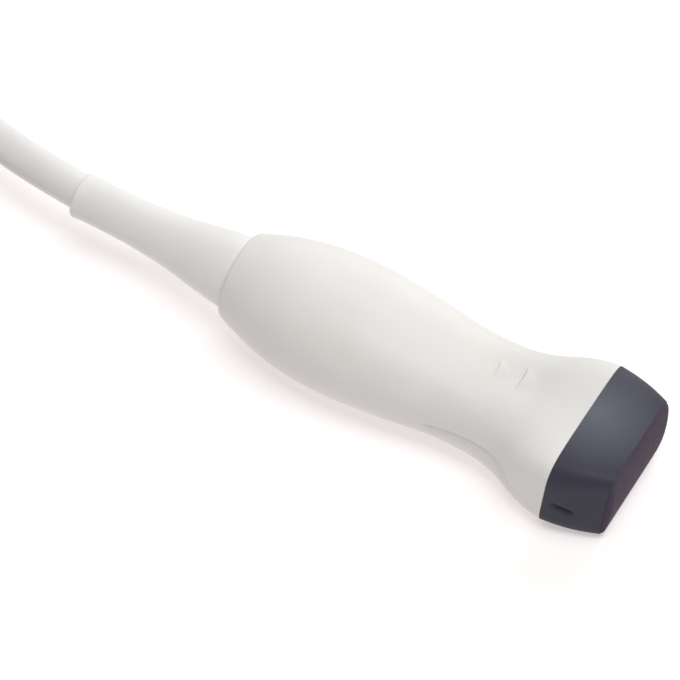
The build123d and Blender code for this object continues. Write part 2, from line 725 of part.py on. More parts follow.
with BuildPart() as plug_cable_clamp:
    with BuildSketch(upright(4.6)):
        with Locations((0.0, 0.25)):
            RectangleRounded(20.0, 15.5, 2.0)
        Circle(CABLE_R + 0.05, mode=Mode.SUBTRACT)
        with Locations((7.4, 0.0), (-7.4, 0.0)):
            Circle(1.1, mode=Mode.SUBTRACT)
    extrude(amount=3.0)
plug_cable_clamp.part.label = "plug_cable_clamp"
export_step(plug_cable_clamp.part, "parts/plug_cable_clamp.step")

with BuildPart() as plug_strain_relief:
    with BuildSketch(Plane(origin=(PLUG_X, PLUG_Y, ENTRY_Z), x_dir=(1, 0, 0), z_dir=(0, -1, 0))):
        with BuildLine():
            Spline((-14.0, 5.3), (-10.0, 5.45), (-5.0, 6.1), (-0.6, 7.3))
            Polyline(
                (-0.6, 7.3), (0.0, 7.0), (0.0, 5.8), (2.0, 5.8), (2.0, 7.0), (4.4, 7.0),
                (4.4, CABLE_R + 0.05), (-14.4, CABLE_R + 0.05), (-14.4, 5.0), (-14.0, 5.3),
            )
        make_face()
    revolve(axis=Axis((PLUG_X, PLUG_Y, ENTRY_Z), (1, 0, 0)))
plug_strain_relief.part.label = "plug_strain_relief"
export_step(plug_strain_relief.part, "parts/plug_strain_relief.step")

# pan-head screws through the base into the cover
with BuildPart() as plug_screws:
    with BuildSketch(level(0.5)):
        with Locations(*SCREWS):
            Circle(1.8)
    extrude(amount=1.5)
    with BuildSketch(level(2.0)):
        with Locations(*SCREWS):
            Circle(1.05)
    extrude(amount=15.0)
    with BuildSketch(level(0.4)):
        with Locations(*SCREWS):
            Rectangle(2.4, 0.5)
            Rectangle(0.5, 2.4)
    extrude(amount=0.7, mode=Mode.SUBTRACT)
plug_screws.part.label = "plug_screws"
export_step(plug_screws.part, "parts/plug_screws.step")

with BuildPart() as shaft_bush:
    with BuildSketch(level(19.6)):
        Circle(5.98)
        Circle(SHAFT_R + SHAFT_PLAY, mode=Mode.SUBTRACT)
    extrude(amount=PLUG_H - 19.6)
    with BuildSketch(level(PLUG_H)):
        Circle(8.0)
        Circle(SHAFT_R + SHAFT_PLAY, mode=Mode.SUBTRACT)
    extrude(amount=0.5)
shaft_bush.part.label = "shaft_bush"
export_step(shaft_bush.part, "parts/shaft_bush.step")

# lock shaft with its cross bar, which catches in the console's receptacle
with BuildPart() as lock_shaft:
    with BuildSketch(level(0.3)):
        Circle(SHAFT_R)
    extrude(amount=29.0)
    with BuildSketch(level(0.3)):
        SlotOverall(14.0, 3.6)
    extrude(amount=1.2)
    # flats that drive the lever
    with BuildSketch(level(27.2)):
        with Locations((0.0, 5.0), (0.0, -5.0)):
            Rectangle(10.0, 3.6)
    extrude(amount=4.0, mode=Mode.SUBTRACT)
    with BuildSketch(level(20.0)):
        Circle(1.25)
    extrude(amount=12.0, mode=Mode.SUBTRACT)
lock_shaft.part.label = "lock_shaft"
export_step(lock_shaft.part, "parts/lock_shaft.step")

with BuildPart() as lock_lever:
    with BuildSketch(level(PLUG_H + 0.65)):
        Circle(9.0)
        with Locations((14.0, 0.0)):
            SlotOverall(34.0, 9.0)
    extrude(amount=5.4)
    fillet(lock_lever.faces().sort_by(Axis.Z)[-1].edges(), 1.6)
    # socket for the shaft's flats
    with BuildSketch(level(PLUG_H)):
        Circle(SHAFT_R + 0.02)
        with Locations((0.0, 5.02), (0.0, -5.02)):
            Rectangle(10.0, 3.6, mode=Mode.SUBTRACT)
    extrude(amount=3.3, mode=Mode.SUBTRACT)
    with BuildSketch(level(PLUG_H)):
        Circle(SHAFT_R + 0.02)
    extrude(amount=1.2, mode=Mode.SUBTRACT)
    with BuildSketch(level(PLUG_H)):
        Circle(1.6)
    extrude(amount=8.0, mode=Mode.SUBTRACT)
    with BuildSketch(level(PLUG_H + 4.4)):
        Circle(3.2)
    extrude(amount=4.0, mode=Mode.SUBTRACT)
lock_lever.part.label = "lock_lever"
export_step(lock_lever.part, "parts/lock_lever.step")

with BuildPart() as lever_screw:
    with BuildSketch(level(PLUG_H + 4.4)):
        Circle(3.0)
    extrude(amount=1.4)
    with BuildSketch(level(21.0)):
        Circle(1.24)
    extrude(amount=PLUG_H + 4.4 - 21.0)
    with BuildSketch(level(PLUG_H + 5.0)):
        RegularPolygon(1.3, 6)
    extrude(amount=2.0, mode=Mode.SUBTRACT)
lever_screw.part.label = "lever_screw"
export_step(lever_screw.part, "parts/lever_screw.step")

with BuildPart() as shaft_clip:
    with BuildSketch(level(8.2)):
        Circle(5.8)
        Circle(SHAFT_R, mode=Mode.SUBTRACT)
        with Locations((0.0, -5.0)):
            Rectangle(3.0, 4.0, mode=Mode.SUBTRACT)
    extrude(amount=0.8)
shaft_clip.part.label = "shaft_clip"
export_step(shaft_clip.part, "parts/shaft_clip.step")

# on the floor half an outer turn and the three inside it, then up and out again on top of them
TURN = 2 * math.pi
TURNS = [OUT_R - k * 2 * CABLE_R for k in range(COIL_TURNS_WIDE)]
print("cable length about", round(
    TURN * (0.5 * OUT_R + sum(TURNS[1:]) + sum(TURNS[1:]) + 0.5 * OUT_R)
    + lead_path.wires()[0].length + tail_path.wires()[0].length))
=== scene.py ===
import bpy
import bmesh
import json
import math
import numpy as np
from mathutils import Matrix, Vector


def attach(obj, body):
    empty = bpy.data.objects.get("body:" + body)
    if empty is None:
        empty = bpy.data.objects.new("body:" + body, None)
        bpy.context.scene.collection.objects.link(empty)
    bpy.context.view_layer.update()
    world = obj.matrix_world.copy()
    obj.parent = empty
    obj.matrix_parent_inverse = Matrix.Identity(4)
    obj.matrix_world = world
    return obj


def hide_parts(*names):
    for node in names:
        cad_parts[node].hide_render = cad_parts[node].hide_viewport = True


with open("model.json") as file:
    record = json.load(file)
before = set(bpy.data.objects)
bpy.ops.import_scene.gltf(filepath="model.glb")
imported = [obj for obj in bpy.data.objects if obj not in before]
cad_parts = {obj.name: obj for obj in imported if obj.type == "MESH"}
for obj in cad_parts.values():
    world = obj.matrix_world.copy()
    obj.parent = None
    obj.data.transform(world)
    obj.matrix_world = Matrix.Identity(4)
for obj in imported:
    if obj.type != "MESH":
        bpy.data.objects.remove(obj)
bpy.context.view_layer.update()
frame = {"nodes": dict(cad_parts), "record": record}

scene = bpy.context.scene
nodes = frame["nodes"]

# ------------------------------------------------------------------ the probe's own frame
# u runs along the probe from the boot's shoulder to the lens, y across it, w up. Millimetres.
TILT = math.radians(2.5)
X0, H0 = -29.17, 14.73
AXIS = np.array([math.cos(TILT), 0.0, -math.sin(TILT)])
UP = np.array([math.sin(TILT), 0.0, math.cos(TILT)])
ORIGIN = np.array([X0, 0.0, H0])
HANDLE = [
    (0.0, 10.5, 10.4, 2.00),
    (4.0, 12.1, 11.6, 2.05),
    (10.0, 14.1, 13.0, 2.12),
    (20.0, 16.2, 13.75, 2.20),
    (32.0, 16.5, 13.60, 2.25),
    (44.0, 15.5, 12.40, 2.30),
    (56.0, 13.9, 11.20, 2.35),
    (66.0, 13.5, 10.50, 2.70),
    (73.0, 14.9, 10.55, 3.05),
    (79.0, 17.4, 11.05, 3.60),
    (83.5, 18.5, 11.15, 4.30),
    (87.0, 18.8, 11.00, 4.90),
]
NOSE = [
    (87.0, 18.8, 11.00, 4.90),
    (91.0, 17.9, 10.88, 5.60),
    (95.5, 16.4, 10.60, 6.80),
    (100.0, 14.4, 10.15, 8.50),
]
SEAM, TIP = 87.0, 100.0
CABLE_R = 4.4


def spot(u, y=0.0, w=0.0):
    p = ORIGIN + AXIS * u + np.array([0.0, y, 0.0]) + UP * w
    return p * 0.001


def slope(rows, i, k):
    if i == 0 or i == len(rows) - 1:
        j = min(i, len(rows) - 2)
        return (rows[j + 1][k] - rows[j][k]) / (rows[j + 1][0] - rows[j][0])
    return (rows[i + 1][k] - rows[i - 1][k]) / (rows[i + 1][0] - rows[i - 1][0])


def sizes(rows, u):
    i = max(0, min(len(rows) - 2, sum(1 for r in rows if r[0] <= u) - 1))
    h = rows[i + 1][0] - rows[i][0]
    t = (u - rows[i][0]) / h
    found = []
    for k in (1, 2, 3):
        p, q = rows[i][k], rows[i + 1][k]
        m, n = slope(rows, i, k) * h, slope(rows, i + 1, k) * h
        found.append((2 * t**3 - 3 * t**2 + 1) * p + (t**3 - 2 * t**2 + t) * m
                     + (3 * t**2 - 2 * t**3) * q + (t**3 - t**2) * n)
    return found


def smooth(x):
    x = np.clip(x, 0.0, 1.0)
    return x * x * (3 - 2 * x)


# ------------------------------------------------------------------ camera
cam_data = bpy.data.cameras.new("camera")
camera = bpy.data.objects.new("camera", cam_data)
scene.collection.objects.link(camera)
scene.camera = camera
cam_data.sensor_width = 36.0
cam_data.lens = 172.5505
cam_data.clip_start, cam_data.clip_end = 0.01, 20.0
right = Vector((0.87173705, 0.48723261, 0.05180642))
above = Vector((-0.40039901, 0.64743475, 0.64847371))
back = Vector((0.28241819, -0.58603614, 0.7594726))
camera.matrix_world = Matrix((
    (right.x, above.x, back.x, 0.20547971),
    (right.y, above.y, back.y, -0.43263658),
    (right.z, above.z, back.z, 0.56874923),
    (0, 0, 0, 1),
))


# ------------------------------------------------------------------ materials
def new_material(name):
    m = bpy.data.materials.new(name)
    m.use_nodes = True
    tree = m.node_tree
    return m, tree, tree.nodes["Principled BSDF"]


def noise_node(tree, scale, detail=3.0, rough=0.5, coords=None):
    n = tree.nodes.new("ShaderNodeTexNoise")
    n.inputs["Scale"].default_value = scale
    n.inputs["Detail"].default_value = detail
    n.inputs["Roughness"].default_value = rough
    if coords is not None:
        tree.links.new(coords, n.inputs["Vector"])
    return n


def ramp(tree, source, low, high, start=0.3, stop=0.7):
    """Colour ramp between two colours, driven by a noise."""
    r = tree.nodes.new("ShaderNodeValToRGB")
    r.color_ramp.elements[0].position, r.color_ramp.elements[1].position = start, stop
    r.color_ramp.elements[0].color = (*low, 1.0)
    r.color_ramp.elements[1].color = (*high, 1.0)
    tree.links.new(source, r.inputs["Fac"])
    return r


def spread(tree, source, low, high):
    r = tree.nodes.new("ShaderNodeMapRange")
    r.inputs["From Min"].default_value, r.inputs["From Max"].default_value = 0.3, 0.7
    r.inputs["To Min"].default_value, r.inputs["To Max"].default_value = low, high
    tree.links.new(source, r.inputs["Value"])
    return r


def bumps(tree, bsdf, layers):
    """Chains bump layers: (height socket, strength, distance in metres)."""
    normal = None
    for height, strength, distance in layers:
        b = tree.nodes.new("ShaderNodeBump")
        b.inputs["Strength"].default_value = strength
        b.inputs["Distance"].default_value = distance
        tree.links.new(height, b.inputs["Height"])
        if normal is not None:
            tree.links.new(normal, b.inputs["Normal"])
        normal = b.outputs["Normal"]
    tree.links.new(normal, bsdf.inputs["Normal"])


def moulded(name, dark, light, rough=(0.3, 0.38), grain=2600.0, grain_depth=0.00001,
            strength=0.25, patch=60.0, metallic=0.0, coat=0.0, specular=0.5, wave=0.0):
    """Moulded plastic or rubber: faint colour drift, uneven gloss and a fine mould texture."""
    m, tree, bsdf = new_material(name)
    co = tree.nodes.new("ShaderNodeTexCoord").outputs["Object"]
    drift = noise_node(tree, patch, 3.0, 0.55, co)
    colour = ramp(tree, drift.outputs["Fac"], dark, light)
    tree.links.new(colour.outputs["Color"], bsdf.inputs["Base Color"])
    gloss = noise_node(tree, patch * 3.7, 4.0, 0.6, co)
    tree.links.new(spread(tree, gloss.outputs["Fac"], *rough).outputs["Result"], bsdf.inputs["Roughness"])
    fine = noise_node(tree, grain, 2.0, 0.6, co)
    layers = [(fine.outputs["Fac"], strength, grain_depth)]
    if wave:
        low = noise_node(tree, 45.0, 1.0, 0.4, co)
        layers.insert(0, (low.outputs["Fac"], 0.5, wave))
    bumps(tree, bsdf, layers)
    bsdf.inputs["Metallic"].default_value = metallic
    bsdf.inputs["Specular IOR Level"].default_value = specular
    if coat:
        bsdf.inputs["Coat Weight"].default_value = coat
        bsdf.inputs["Coat Roughness"].default_value = 0.2
    return m


def metal(name, dark, light, rough=(0.22, 0.36), stretch=(1.0, 1.0, 14.0), scale=900.0):
    """Metal with fine turning or rolling lines."""
    m, tree, bsdf = new_material(name)
    co = tree.nodes.new("ShaderNodeTexCoord").outputs["Object"]
    mapping = tree.nodes.new("ShaderNodeMapping")
    mapping.inputs["Scale"].default_value = stretch
    tree.links.new(co, mapping.inputs["Vector"])
    lines = noise_node(tree, scale, 4.0, 0.65, mapping.outputs["Vector"])
    drift = noise_node(tree, 120.0, 3.0, 0.5, co)
    colour = ramp(tree, drift.outputs["Fac"], dark, light)
    tree.links.new(colour.outputs["Color"], bsdf.inputs["Base Color"])
    tree.links.new(spread(tree, lines.outputs["Fac"], *rough).outputs["Result"], bsdf.inputs["Roughness"])
    bumps(tree, bsdf, [(lines.outputs["Fac"], 0.2, 0.00001)])
    bsdf.inputs["Metallic"].default_value = 1.0
    return m


def woven(name, dark, light, pitch=1800.0):
    """Hook and loop tape: a napped weave."""
    m, tree, bsdf = new_material(name)
    co = tree.nodes.new("ShaderNodeTexCoord").outputs["Object"]
    nap = noise_node(tree, pitch, 5.0, 0.75, co)
    cells = tree.nodes.new("ShaderNodeTexVoronoi")
    cells.inputs["Scale"].default_value = pitch * 0.7
    tree.links.new(co, cells.inputs["Vector"])
    colour = ramp(tree, nap.outputs["Fac"], dark, light)
    tree.links.new(colour.outputs["Color"], bsdf.inputs["Base Color"])
    tree.links.new(spread(tree, nap.outputs["Fac"], 0.8, 0.95).outputs["Result"], bsdf.inputs["Roughness"])
    bumps(tree, bsdf, [(cells.outputs["Distance"], 0.6, 0.0003), (nap.outputs["Fac"], 0.5, 0.0002)])
    bsdf.inputs["Sheen Weight"].default_value = 0.35
    return m


def board(name):
    """Solder resist over copper lines."""
    m, tree, bsdf = new_material(name)
    co = tree.nodes.new("ShaderNodeTexCoord").outputs["Object"]
    brick = tree.nodes.new("ShaderNodeTexBrick")
    brick.inputs["Scale"].default_value = 420.0
    brick.inputs["Color1"].default_value = (0.01, 0.12, 0.045, 1)
    brick.inputs["Color2"].default_value = (0.012, 0.10, 0.04, 1)
    brick.inputs["Mortar"].default_value = (0.03, 0.22, 0.09, 1)
    brick.inputs["Mortar Size"].default_value = 0.03
    tree.links.new(co, brick.inputs["Vector"])
    tree.links.new(brick.outputs["Color"], bsdf.inputs["Base Color"])
    gloss = noise_node(tree, 300.0, 3.0, 0.5, co)
    tree.links.new(spread(tree, gloss.outputs["Fac"], 0.28, 0.4).outputs["Result"], bsdf.inputs["Roughness"])
    bumps(tree, bsdf, [(brick.outputs["Fac"], 0.4, 0.00004)])
    return m


def painted_shade_and_highlight_spot(material, centre, radius, light):
    """Blends the base colour towards another shade round one spot: painted shade where that shade is darker, painted
    highlight where it is paler.
    """
    tree = material.node_tree
    bsdf = next(n for n in tree.nodes if n.type == "BSDF_PRINCIPLED")
    base = bsdf.inputs["Base Color"].links[0].from_socket
    co = tree.nodes.new("ShaderNodeTexCoord").outputs["Object"]
    away = tree.nodes.new("ShaderNodeVectorMath")
    away.operation = "DISTANCE"
    away.inputs[1].default_value = tuple(float(c) for c in centre)
    tree.links.new(co, away.inputs[0])
    share = tree.nodes.new("ShaderNodeMapRange")
    share.inputs["From Min"].default_value, share.inputs["From Max"].default_value = 0.0, radius
    share.inputs["To Min"].default_value, share.inputs["To Max"].default_value = 1.0, 0.0
    tree.links.new(away.outputs["Value"], share.inputs["Value"])
    mix = tree.nodes.new("ShaderNodeMix")
    mix.data_type = "RGBA"
    tree.links.new(share.outputs["Result"], mix.inputs["Factor"])
    tree.links.new(base, mix.inputs["A"])
    mix.inputs["B"].default_value = (*light, 1.0)
    tree.links.new(mix.outputs["Result"], bsdf.inputs["Base Color"])


WHITE = moulded("shell_white", (0.765, 0.745, 0.72), (0.80, 0.785, 0.765), rough=(0.42, 0.5),
                grain=2200.0, grain_depth=0.000012, strength=0.18, patch=38.0, specular=0.28)
# Painted shade: the handle's colour darkens round the neck and flare, standing for shade that falls there.
painted_shade_and_highlight_spot(WHITE, spot(79.0, 6.0, 4.0), 0.022, (0.61, 0.60, 0.575))
BOOT_WHITE = moulded("boot_white", (0.77, 0.755, 0.74), (0.80, 0.79, 0.775), rough=(0.42, 0.52),
                     grain=1900.0, grain_depth=0.000015, strength=0.2, patch=50.0, specular=0.4)
CABLE_WHITE = moulded("cable_white", (0.76, 0.745, 0.735), (0.79, 0.78, 0.77), rough=(0.40, 0.5),
                      grain=1700.0, grain_depth=0.00002, strength=0.22, patch=70.0, specular=0.4)
SLATE = moulded("nose_slate", (0.043, 0.042, 0.063), (0.050, 0.049, 0.072), rough=(0.52, 0.6),
                grain=1500.0, grain_depth=0.00002, strength=0.25, patch=55.0, specular=0.2)
# Painted highlight: the nosepiece's top turns paler near the seam, standing for a broad sheen of light there.
painted_shade_and_highlight_spot(SLATE, spot(88.8, 1.0, 11.0), 0.0155, (0.118, 0.129, 0.158))
LENS = moulded("lens_plum", (0.078, 0.060, 0.086), (0.088, 0.068, 0.096), rough=(0.6, 0.72),
               grain=1300.0, grain_depth=0.000015, strength=0.15, patch=90.0, specular=0.04)
MATERIALS = {
    "shell_plastic": WHITE,
    "boot_elastomer": BOOT_WHITE,
    "cable_jacket": CABLE_WHITE,
    "nose_plastic": SLATE,
    "lens_rubber": LENS,
    "seal_rubber": moulded("seal_black", (0.01, 0.01, 0.01), (0.02, 0.02, 0.02), rough=(0.6, 0.75)),
    "shield_foil": metal("shield_foil_skin", (0.55, 0.56, 0.58), (0.68, 0.69, 0.70), rough=(0.25, 0.45)),
    "spreader_metal": metal("spreader_alloy", (0.48, 0.49, 0.51), (0.58, 0.59, 0.61)),
    "matching_resin": moulded("matching_tan", (0.22, 0.14, 0.07), (0.28, 0.19, 0.10)),
    "piezo_ceramic": moulded("ceramic_cream", (0.52, 0.43, 0.29), (0.6, 0.51, 0.36), rough=(0.5, 0.7)),
    "backing_resin": moulded("backing_dark", (0.018, 0.018, 0.02), (0.03, 0.03, 0.032), rough=(0.5, 0.7)),
    "flex_film": moulded("film_amber", (0.38, 0.13, 0.015), (0.46, 0.17, 0.025), rough=(0.2, 0.3)),
    "frame_resin": moulded("frame_black", (0.025, 0.025, 0.03), (0.04, 0.04, 0.045)),
    "board_laminate": board("board_green"),
    "socket_plastic": moulded("socket_ivory", (0.62, 0.58, 0.48), (0.70, 0.66, 0.56)),
    "braid_copper": metal("braid_tinned", (0.55, 0.42, 0.28), (0.72, 0.62, 0.48), rough=(0.3, 0.5), scale=1500.0),
    "steel": metal("turned_steel", (0.42, 0.42, 0.43), (0.55, 0.55, 0.56)),
    "connector_plastic": moulded("connector_grey", (0.55, 0.56, 0.57), (0.60, 0.61, 0.62), rough=(0.45, 0.58),
                                 grain=1100.0, grain_depth=0.00004, strength=0.4),
    "contact_plastic": moulded("contact_black", (0.015, 0.015, 0.017), (0.025, 0.025, 0.027), rough=(0.4, 0.5)),
    "contact_gold": metal("contact_gold_plate", (0.70, 0.46, 0.16), (0.80, 0.56, 0.22), rough=(0.18, 0.3)),
    "lever_plastic": moulded("lever_grey", (0.095, 0.105, 0.125), (0.12, 0.13, 0.15), rough=(0.38, 0.5),
                             grain=1200.0, grain_depth=0.00003, strength=0.35),
    "tie_fabric": woven("tie_black", (0.012, 0.013, 0.016), (0.035, 0.037, 0.042)),
}
slot_of = {s["node"]: s["material_slot"] for s in frame["record"]["subparts"]}
for name, o in nodes.items():
    skin = MATERIALS[slot_of[name]]
    if not o.data.materials:
        o.data.materials.append(skin)
    for k in range(len(o.data.materials)):
        o.data.materials[k] = skin


# ------------------------------------------------------------------ mesh helpers
def mesh_object(name, verts, faces, material, sharp=35.0):
    me = bpy.data.meshes.new(name)
    me.from_pydata([tuple(v) for v in verts], [], faces)
    me.update()
    bm = bmesh.new()
    bm.from_mesh(me)
    bmesh.ops.recalc_face_normals(bm, faces=bm.faces)
    limit = math.radians(sharp)
    for f in bm.faces:
        f.smooth = True
    for e in bm.edges:
        if len(e.link_faces) == 2 and e.calc_face_angle(0.0) > limit:
            e.smooth = False
    bm.to_mesh(me)
    bm.free()
    me.materials.append(material)
    o = bpy.data.objects.new(name, me)
    scene.collection.objects.link(o)
    return o


def skin_rings(rings, loop=False, cap_start=False, cap_end=False):
    """Quads between successive rings of equal length."""
    n = len(rings[0])
    verts = [p for ring in rings for p in ring]
    faces = []
    count = len(rings)
    for i in range(count if loop else count - 1):
        a, b = i * n, ((i + 1) % count) * n
        for k in range(n):
            l = (k + 1) % n
            faces.append((a + k, a + l, b + l, b + k))
    if cap_start:
        faces.append(tuple(range(n)))
    if cap_end:
        base = (count - 1) * n
        faces.append(tuple(base + k for k in range(n)))
    return verts, faces


def shares(step_small, step_big, growth):
    """Places along a ring, as shares of its length, close together at 0 and even elsewhere."""
    half, step, at = [0.0], step_small, 0.0
    while at + step < 0.5 - step_big * 0.4:
        at += step
        half.append(at)
        step = min(step * growth, step_big)
    back_half = [-x for x in half[1:]]
    return np.array(half + [0.5] + back_half[::-1])


T_DENSE = np.linspace(0, 2 * math.pi, 2881)


def ring_points(a, b, n, edge_w, places):
    """Points (y, w) of a section, at shares of its length from where it crosses edge_w on the marked side, downwards."""
    c, s = np.cos(T_DENSE), np.sin(T_DENSE)
    r = (np.abs(c) ** n + np.abs(s) ** n) ** (-1 / n)
    y, w = a * r * c, b * r * s
    along = np.concatenate([[0], np.cumsum(np.hypot(np.diff(y), np.diff(w)))])
    total = along[-1]
    # on the marked side w falls as t passes pi
    near = np.where((T_DENSE > 0.6 * math.pi) & (T_DENSE < 1.4 * math.pi))[0]
    k = near[np.argmin(np.abs(w[near] - edge_w))]
    j = k if w[k] >= edge_w else k - 1
    f = (w[j] - edge_w) / max(1e-9, w[j] - w[j + 1])
    start = along[j] + (along[j + 1] - along[j]) * f
    where = (start + places * total) % total
    yy, ww = np.interp(where, along, y), np.interp(where, along, w)
    ty = np.interp((where + 0.05) % total, along, y) - np.interp((where - 0.05) % total, along, y)
    tw = np.interp((where + 0.05) % total, along, w) - np.interp((where - 0.05) % total, along, w)
    size = np.hypot(ty, tw)
    normal = np.stack([tw / size, -ty / size], axis=1)
    down = np.where(places <= 0.5, places, places - 1.0) if places.min() >= 0 else places
    return np.stack([yy, ww], axis=1), normal, down * total


def place_ring(u, points):
    return [spot(u, y, w) for y, w in points]


# ------------------------------------------------------------------ handle
EDGE_U = np.array([50.0, 55.0, 58.0, 60.5, 65.0, 68.5, 71.75, 75.0, 76.6, 77.9, 80.0])
EDGE_W = np.array([-1.9, -1.2, -0.55, -0.15, 0.3, 0.6, 0.76, 0.3, -0.6, -2.0, -2.6])


def eased(x, xs, ys):
    """Smooth curve through points."""
    i = int(np.clip(np.searchsorted(xs, x) - 1, 0, len(xs) - 2))
    p0, p1, p2, p3 = (ys[max(i - 1, 0)], ys[i], ys[i + 1], ys[min(i + 2, len(ys) - 1)])
    t = float(np.clip((x - xs[i]) / (xs[i + 1] - xs[i]), 0, 1))
    return 0.5 * (2 * p1 + (p2 - p0) * t + (2 * p0 - 5 * p1 + 4 * p2 - p3) * t * t + (3 * p1 - p0 - 3 * p2 + p3) * t**3)


def crescent(u, y, at, y0, y1, height):
    """A low ridge for the thumb: steep towards the cable, long and soft towards the lens."""
    mid, half = (y0 + y1) / 2, (y1 - y0) / 2
    across = np.clip(np.abs(y - mid) / half, 0, 1)
    width = (1 - across**2) ** 1.2
    line = at - 0.5 * across**2
    x = u - line
    rise = smooth((x + 0.2) / 0.4)
    fall = 1 - smooth((x - 0.2) / (0.9 + 2.4 * width))
    groove = smooth((x + 0.75) / 0.4) * (1 - smooth((x + 0.35) / 0.3))
    return height * width * (rise * fall - 0.55 * groove)


def handle_ring(u, inset=0.0, detail=True):
    a, b, n = sizes(HANDLE, u)
    a, b = a - inset, b - inset
    points, normal, down = ring_points(a, b, n, eased(u, EDGE_U, EDGE_W), HANDLE_PLACES)
    if detail:
        ends = smooth((u - 54.2) / 3.2) * (1 - smooth((u - 76.6) / 1.8))
        groove = smooth(down / 0.16) * (1 - smooth((down - 0.2) / 0.5))
        depth = ends * (0.45 * smooth(down / 0.3) * (1 - smooth((down - 0.4) / 4.2)) + 0.6 * groove)
        depth = np.where(down > 0, depth, 0.0)
        lift = 0.0
        if 60 < u < 76:
            y, w = points[:, 0], points[:, 1]
            lift = crescent(u, y, 64.7, -2.4, 2.7, 0.36) + crescent(u, y, 70.5, -3.2, 5.0, 0.44)
            lift = np.where(w > 0, lift, 0.0)
        if 60.5 < u < 81.5:
            y, w = points[:, 0], points[:, 1]
            away = np.sqrt(((u - 71.0) / 10.0) ** 2 + (y / 10.5) ** 2)
            lift = lift - np.where(w > 0, 0.55 * smooth(1 - away), 0.0)
        points = points + normal * (lift - depth)[:, None]
    return points


HANDLE_PLACES = shares(0.0009, 0.0038, 1.2)
us = [0.0]
while us[-1] < SEAM - 0.9:
    u = us[-1]
    us.append(u + (0.14 if 63.3 < u < 65.9 or 69.0 < u < 71.8 else 0.3 if 53 < u < 79 else 0.75))
us = np.array(us)
us = us[(us > 1.2) & (us < SEAM - 0.7)]
rings = []
EDGE = 0.55
# rounded rear edge, then the body
rings.append(place_ring(0.0, handle_ring(0.0, 1.5, False)))
for k in range(0, 7):
    t = math.pi / 2 * k / 6
    u = EDGE * (1 - math.cos(t))
    rings.append(place_ring(u, handle_ring(u, EDGE * (1 - math.sin(t)), False)))
for u in us:
    rings.append(place_ring(u, handle_ring(u)))
# small rounded front edge
FRONT = 0.18
for k in range(0, 4):
    t = math.pi / 2 * k / 3
    u = SEAM - FRONT + FRONT * math.sin(t)
    rings.append(place_ring(u, handle_ring(u, FRONT * (1 - math.cos(t)), False)))
# inner wall
rings.append(place_ring(SEAM, handle_ring(SEAM, 1.95, False)))
for u in (80.0, 70.0, 60.0, 45.0, 30.0, 20.0, 10.0, 4.0, 2.2):
    rings.append(place_ring(u, handle_ring(u, 2.0, False)))
# rear hole, a circle
hole_in, hole_out = [], []
for ring_u, store in ((2.2, hole_in), (0.0, hole_out)):
    pts = handle_ring(0.0, 0.0, False)
    ang = np.arctan2(pts[:, 1], pts[:, 0])
    store.extend(spot(ring_u, 7.6 * math.cos(t), 7.6 * math.sin(t)) for t in ang)
rings.append(hole_in)
rings.append(hole_out)
verts, faces = skin_rings(rings, loop=True)
handle = mesh_object("handle_casing", verts, faces, WHITE, sharp=50)
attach(handle, "probe")
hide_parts("handle_shell_top", "handle_shell_bottom")


# ------------------------------------------------------------------ nosepiece
MARK_U = np.array([87.0, 88.4, 90.0, 92.0, 93.9, 95.5, 97.0])
MARK_W = np.array([0.6, 0.1, -0.35, -0.9, -1.5, -2.1, -2.6])
NOSE_PLACES = shares(0.0009, 0.0036, 1.2)


def nose_ring(u, inset=0.0, detail=True):
    a, b, n = sizes(NOSE, u)
    points, normal, down = ring_points(a - inset, b - inset, n, eased(u, MARK_U, MARK_W), NOSE_PLACES)
    if detail:
        x = (u - 91.4) / 3.15
        ends = smooth((1 - abs(x)) / 0.55)
        depth = 0.95 * ends * smooth(down / 0.3) * (1 - smooth((down - 0.35) / 1.9))
        depth = np.where(down > 0, depth, 0.0)
        points = points - normal * depth[:, None]
    return points


rings = []
REAR = 0.12
rings.append(place_ring(SEAM + 0.02, nose_ring(SEAM, 1.6, False)))
for k in range(0, 3):
    t = math.pi / 2 * k / 2
    rings.append(place_ring(SEAM + 0.02 + REAR * (1 - math.cos(t)), nose_ring(SEAM, REAR * (1 - math.sin(t)), False)))
for u in np.arange(SEAM + 0.35, TIP - 0.5, 0.27):
    rings.append(place_ring(u, nose_ring(u)))
TIP_R = 0.12
for k in range(0, 6):
    t = math.pi / 2 * k / 5
    rings.append(place_ring(TIP - TIP_R + TIP_R * math.sin(t), nose_ring(TIP - TIP_R, TIP_R * (1 - math.cos(t)), False)))
rings.append(place_ring(TIP, nose_ring(TIP, 0.14, False)))
rings.append(place_ring(TIP - 0.02, nose_ring(TIP, 0.16, False)))
rings.append(place_ring(98.8, nose_ring(TIP, 0.16, False)))
rings.append(place_ring(98.8, nose_ring(TIP, 2.0, False)))
rings.append(place_ring(92.0, nose_ring(92.0, 2.6, False)))
rings.append(place_ring(SEAM + 0.02, nose_ring(SEAM, 2.6, False)))
verts, faces = skin_rings(rings, loop=True)
nose = mesh_object("nosepiece_shell", verts, faces, SLATE, sharp=50)
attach(nose, "probe")
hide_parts("nosepiece")

# ------------------------------------------------------------------ lens
LENS_A, LENS_B, LENS_N = 14.4 - 0.17, 10.15 - 0.17, 8.5
LENS_TOP, LENS_LOW = 101.42, 100.42


def lens_height(y, w):
    return LENS_LOW + (LENS_TOP - LENS_LOW) * (1 - (w / 9.8) ** 2) + 0.0 * y


def lens_ring(inset, drop, scale=None):
    a, b = LENS_A - inset, LENS_B - inset
    if scale is not None:
        a, b = a * scale, b * scale
    c, s = np.cos(LENS_T), np.sin(LENS_T)
    n = LENS_N if scale is None else LENS_N * scale + 2.0 * (1 - scale)
    r = (np.abs(c) ** n + np.abs(s) ** n) ** (-1 / n)
    y, w = a * r * c, b * r * s
    return [spot(lens_height(yy, ww) - drop, yy, ww) for yy, ww in zip(y, w)]


